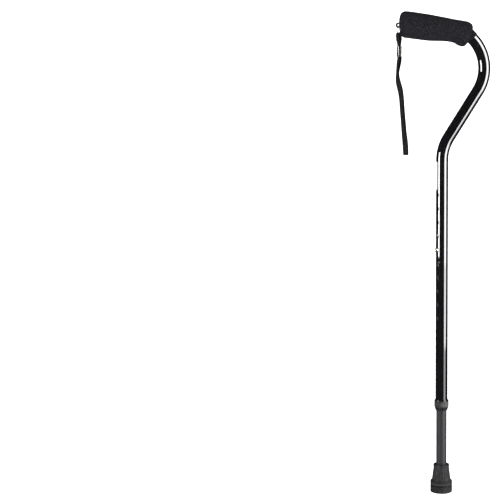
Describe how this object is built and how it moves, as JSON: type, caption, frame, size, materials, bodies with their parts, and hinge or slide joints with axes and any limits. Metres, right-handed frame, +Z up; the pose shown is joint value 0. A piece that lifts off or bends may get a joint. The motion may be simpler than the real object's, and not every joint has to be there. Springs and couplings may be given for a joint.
{
  "type": "walking cane",
  "caption": "Height-adjustable offset-handle walking cane with a foam grip, wrist strap, snap button, locking nut and single rubber tip.",
  "frame": {"origin": "centre of the rubber tip's ground face, with the shaft set to 889 mm", "axes": "+Z up the shaft, the handle in the XZ plane with the grip towards -X and the gooseneck bulge towards +X, +Y across the handle"},
  "size_m": [0.1764, 0.0404, 0.8906],
  "materials": {
    "gloss_black_tube": "gloss",
    "dark_grey_tube": "satin",
    "grip_foam": "matte",
    "black_plastic": "satin",
    "nickel": "polished",
    "webbing": "matte",
    "clear_film": "gloss",
    "collet_plastic": "satin",
    "nut_plastic": "satin",
    "button_steel": "polished",
    "spring_steel": "satin",
    "tip_rubber": "matte"
  },
  "bodies": {
    "upper_assembly": {"upper_tube": "gloss_black_tube", "foam_grip": "grip_foam", "handle_end_plug": "black_plastic", "blank_label": "clear_film", "collet_bushing": "collet_plastic"},
    "lower_assembly": {"lower_tube": "dark_grey_tube", "tube_guide_cap": "collet_plastic", "rubber_tip": "tip_rubber", "tip_washer": "spring_steel", "snap_spring": "spring_steel"},
    "button": {"snap_button": "button_steel"},
    "thrust_ring": {"compression_ring": "collet_plastic"},
    "nut": {"locking_nut": "nut_plastic"},
    "ring": {"split_ring": "nickel"},
    "strap": {"wrist_strap": "webbing", "strap_crimp": "nickel"}
  },
  "joints": [
    {"name": "height_slide", "type": "slide", "parent": "upper_assembly", "child": "lower_assembly", "axis": [0, 0, -1], "range_m": [-0.1016, 0.127], "deforming": ["snap_button"]},
    {"name": "button_press", "type": "slide", "parent": "lower_assembly", "child": "button", "axis": [0.9397, 0.342, 0], "range_m": [0, 0.0062], "stiffness_N_per_m": 1200, "springref_m": -0.002, "deforming": ["snap_spring"]},
    {"name": "nut_travel", "type": "slide", "parent": "upper_assembly", "child": "thrust_ring", "axis": [0, 0, -1], "range_m": [0, 0.0025]},
    {"name": "nut_turn", "type": "hinge", "parent": "thrust_ring", "child": "nut", "pos_m": [0, 0, 0.165], "axis": [0, 0, -1], "range_deg": [0, 450.05]},
    {"name": "ring_swing", "type": "hinge", "parent": "upper_assembly", "child": "ring", "pos_m": [-0.0816, 0, 0.8654], "axis": [0, 1, 0], "range_deg": [0, 90]},
    {"name": "strap_swing", "type": "hinge", "parent": "ring", "child": "strap", "pos_m": [-0.0816, 0, 0.8482], "axis": [0, 1, 0], "range_deg": [-12, 28]}
  ],
  "couplings": [
    {"joint": "nut_turn", "follows": "nut_travel", "rad_per_m": 3141.6}
  ]
}
